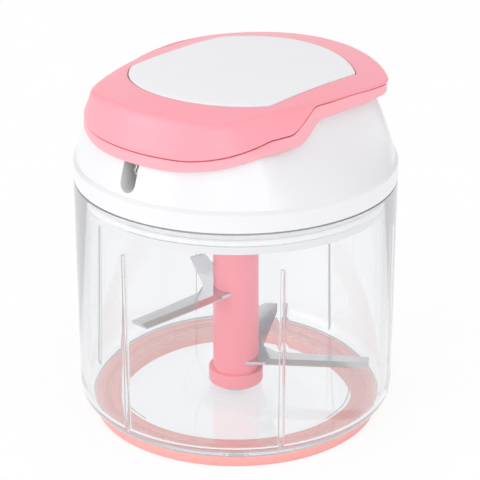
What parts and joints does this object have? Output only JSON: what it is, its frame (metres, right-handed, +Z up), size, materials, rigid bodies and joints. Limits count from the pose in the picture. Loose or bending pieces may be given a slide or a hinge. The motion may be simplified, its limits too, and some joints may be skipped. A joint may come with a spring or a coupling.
{
  "type": "pull cord food chopper",
  "caption": "Hand food chopper: clear bowl with a bladed shaft, and a lid whose spring-return cord handle spins the blades.",
  "frame": {"origin": "centre of the foot ring on the table", "axes": "+Z up along the blade shaft, -Y towards the cord slot at the front of the lid"},
  "size_m": [0.126, 0.126, 0.1436],
  "materials": {
    "clear_plastic": "clear moulded plastic, glossy",
    "ring_rubber": "soft pink rubber, satin",
    "steel": "brushed stainless steel",
    "pink_plastic": "pink moulded plastic, soft gloss",
    "pink_band": "deeper pink moulded plastic, soft gloss",
    "shaft_plastic": "pink moulded plastic, satin",
    "white_plastic": "white moulded plastic, glossy",
    "panel_plastic": "white inlay, glossy",
    "inner_plastic": "natural white moulded plastic, satin",
    "seal_rubber": "translucent white silicone, satin",
    "brass": "turned brass, satin",
    "cord_weave": "braided black and white cord"
  },
  "bodies": {
    "bowl_body": {"bowl": "clear_plastic", "base_ring": "ring_rubber", "pivot_pin": "steel"},
    "blade_body": {"blade_shaft": "shaft_plastic", "shaft_foot": "shaft_plastic", "shaft_bush": "inner_plastic", "upper_blade": "steel", "lower_blade": "steel"},
    "lid_body": {"lid_shell": "white_plastic", "lid_gasket": "seal_rubber", "mechanism_cover": "inner_plastic", "cover_screws": "steel", "spindle_bush": "inner_plastic", "center_axle": "steel", "spring_case": "inner_plastic", "case_screws": "steel", "mainspring": "steel", "cord_eyelet": "brass", "cord_lead": "cord_weave"},
    "spool_body": {"cord_spool": "inner_plastic", "cord_coil": "cord_weave", "drive_spindle": "inner_plastic", "spindle_screws": "steel"},
    "handle_body": {"handle_top": "pink_plastic", "handle_panel": "panel_plastic", "handle_base": "pink_band", "handle_screws": "steel", "pull_cord": "cord_weave", "cord_stop": "brass"}
  },
  "joints": [
    {"name": "lid_lift", "type": "slide", "parent": "bowl_body", "child": "lid_body", "axis": [0, 0, 1], "range_m": [0, 0.06]},
    {"name": "handle_pull", "type": "slide", "parent": "lid_body", "child": "handle_body", "axis": [0, -0.7071, 0.7071], "range_m": [0, 0.3], "stiffness_N_per_m": 15, "springref_m": -0.2, "deforming": ["pull_cord"]},
    {"name": "spool_spin", "type": "hinge", "parent": "lid_body", "child": "spool_body", "pos_m": [0, 0, 0.105], "axis": [0, 0, 1], "range_deg": [-860, 0]},
    {"name": "blade_spin", "type": "hinge", "parent": "bowl_body", "child": "blade_body", "pos_m": [0, 0, 0.02], "axis": [0, 0, 1], "range_deg": [-860, 0]}
  ],
  "couplings": [
    {"joint": "spool_spin", "follows": "handle_pull", "rad_per_m": -49.875},
    {"joint": "blade_spin", "follows": "handle_pull", "rad_per_m": -49.875}
  ]
}
